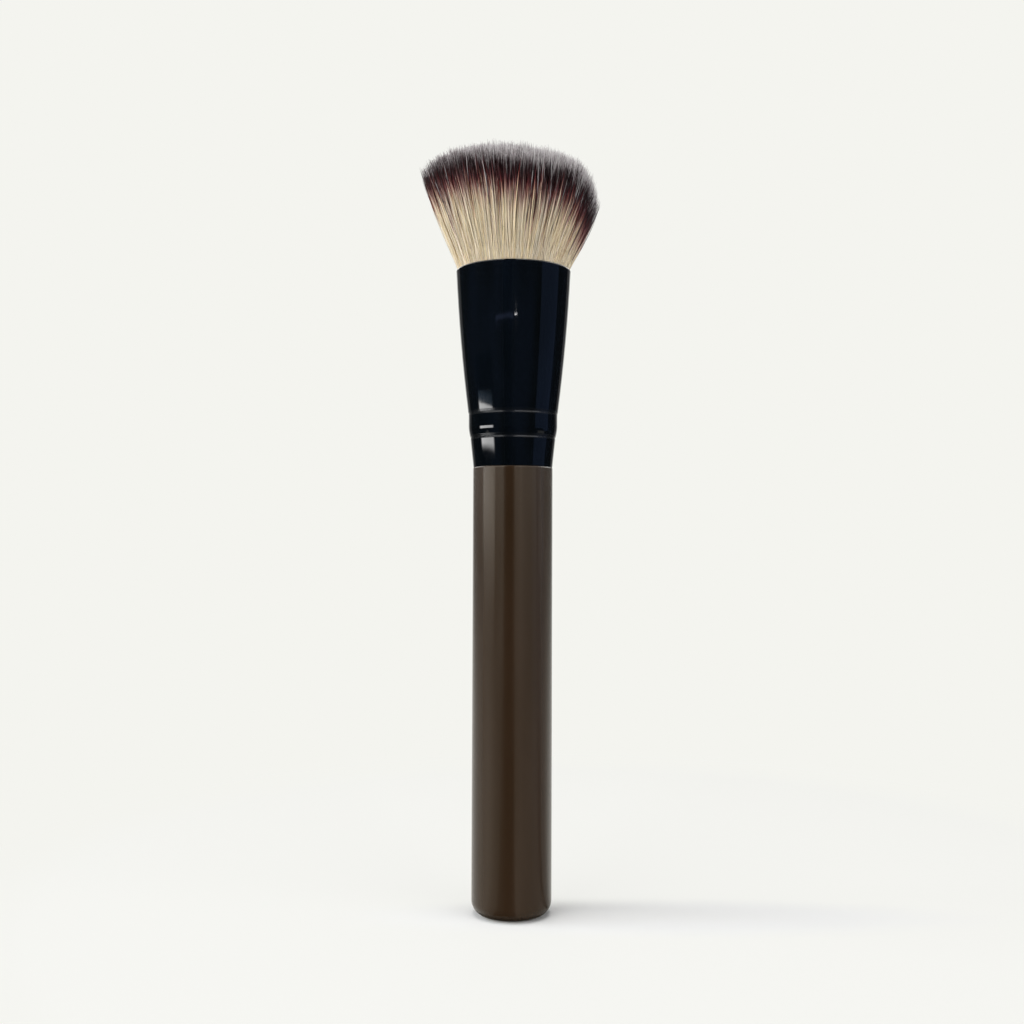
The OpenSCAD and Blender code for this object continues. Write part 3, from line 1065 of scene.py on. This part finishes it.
    def build_sweep(self) -> None:
        """Builds the paper: a floor, a quarter round of sweep_radius and a wall, as one grid."""
        bend = np.linspace(0.0, math.pi / 2.0, BEND_POINTS)
        depth = np.concatenate([
            np.linspace(self.front_edge, self.sweep_start, FLOOR_POINTS)[:-1],
            self.sweep_start + self.sweep_radius * np.sin(bend),
            [self.sweep_start + self.sweep_radius],
        ])
        height = np.concatenate([
            np.zeros(FLOOR_POINTS - 1),
            self.sweep_radius * (1.0 - np.cos(bend)),
            [self.wall_top],
        ])
        width = np.linspace(-self.sweep_width, self.sweep_width, FLOOR_POINTS)
        points = np.empty((len(width), len(depth), 3))
        points[..., 0] = width[:, None]
        points[..., 1] = depth[None]
        points[..., 2] = height[None]
        sweep = new_piece("paper_sweep", grid_mesh("paper_sweep", points), self.paper_material())

    def build_card(self) -> None:
        """Builds the glowing card to the left, a bent sheet that only reflections see; it is no
        lamp, and paints the bright patches that the ferrule mirrors.

        Its light is that of two bands, a bright one and a dim one above it, whose edges are
        soft. They rise with the azimuth away from the camera, by card_rise a degree.
        """
        azimuth = np.radians(np.linspace(*self.card_azimuths, 13))[:, None]
        margin = self.card_margin
        height = np.linspace(self.card_bright[0] - margin, self.card_dim + margin, 3)[None]
        points = np.empty((azimuth.shape[0], height.shape[1], 3))
        points[..., 0] = np.sin(azimuth) * self.card_distance
        points[..., 1] = -np.cos(azimuth) * self.card_distance
        points[..., 2] = height
        # Painted reflection: a glowing sheet, no lamp, mirrored by the ferrule as its bright
        # patches
        material, tree = new_material("glowing_reflection_card")
        place = add_node(tree, "TexCoord").outputs["Object"]
        parts = add_node(tree, "SeparateXYZ", {"Vector": place}).outputs
        back = maths(tree, "MULTIPLY", parts["Y"], -1.0)
        degrees = maths(tree, "DEGREES", maths(tree, "ARCTAN2", parts["X"], back))
        middle = maths(tree, "ADD", degrees, -0.5 * sum(self.card_azimuths))
        under, over = (
            maths(tree, "MULTIPLY_ADD", middle, rise, parts["Z"]) for rise in self.card_rise
        )
        low, high = self.card_bright
        start, end = self.card_azimuths
        above, below = self.card_high_edge
        edges = (
            (under, low, low + self.card_low_edge, 1.0),
            (over, high + above, high - below, 1.0),
            (over, self.card_dim, high, self.card_dim_strength),
            (degrees, start, start + self.card_side_edge, 1.0),
            (degrees, end, end - self.card_side_edge, 1.0),
        )
        rise, top, haze, left, right = (
            add_node(
                tree, "MapRange",
                {"Value": node, "From Min": a, "From Max": b, "To Max": strength},
                interpolation_type="SMOOTHSTEP",
            ).outputs["Result"]
            for node, a, b, strength in edges
        )
        band = maths(tree, "MAXIMUM", top, maths(tree, "POWER", haze, 2.0))
        for factor in (rise, left, right, self.card_radiance):
            band = maths(tree, "MULTIPLY", band, factor)
        tone = add_node(tree, "ValToRGB", {"Fac": top})
        set_ramp(tone, [(0.0, linear(self.card_haze)), (0.3, linear("#ffffff"))])
        glow = add_node(tree, "Emission", {"Color": tone.outputs["Color"], "Strength": band})
        add_node(tree, "OutputMaterial", {"Surface": glow.outputs[0]})
        card = new_piece("glowing_reflection_card", grid_mesh("glowing_reflection_card", points), material)
        card.visible_camera = card.visible_diffuse = card.visible_shadow = False

    def build_world(self) -> None:
        """Makes the room: the paper's white to the camera, and dim to everything else."""
        world = bpy.data.worlds.new("room")
        world.use_nodes = True
        tree = world.node_tree
        tree.nodes.clear()
        path = add_node(tree, "LightPath")
        dim = add_node(
            tree, "Background", {"Color": (1.0, 1.0, 1.0, 1.0), "Strength": self.room}
        )
        white = add_node(tree, "Background", {"Color": linear(self.paper), "Strength": 1.0})
        seen = add_node(
            tree, "MixShader",
            {0: path.outputs["Is Camera Ray"], 1: dim.outputs[0], 2: white.outputs[0]},
        )
        add_node(tree, "OutputWorld", {"Surface": seen.outputs[0]})
        bpy.context.scene.world = world

    def build_camera(self) -> None:
        """Places the camera before the handle's upper part, pitched and rolled a little."""
        data = bpy.data.cameras.new("camera")
        data.sensor_fit = "HORIZONTAL"
        data.sensor_width = self.sensor
        data.lens = self.focal_pixels / self.picture_pixels * self.sensor
        data.clip_start = 0.01
        camera = bpy.data.objects.new("camera", data)
        bpy.context.scene.collection.objects.link(camera)
        camera.matrix_world = (
            Matrix.Translation(Vector(self.camera_place))
            @ Matrix.Rotation(math.radians(90.0 + self.camera_pitch), 4, "X")
            @ Matrix.Rotation(math.radians(self.camera_roll), 4, "Z")
        )
        bpy.context.scene.camera = camera

    def build(self) -> None:
        """Builds the paper, the flags, the card, the room, the camera and the lamps."""
        self.build_sweep()
        for flag in self.flags:
            flag.build()
        self.build_card()
        self.build_world()
        self.build_camera()
        for box in self.boxes:
            box.build()
        bpy.context.scene.view_settings.view_transform = "Standard"
        log.info("studio: %d lamps", len(self.boxes))


def main() -> None:
    """Builds the studio and dresses the brush."""
    logging.basicConfig(level=logging.INFO, format="%(name)s: %(message)s")
    Studio().build()
    CarriedNodes().dress()
    Tuft().build()


if __name__ == "__main__":
    main()
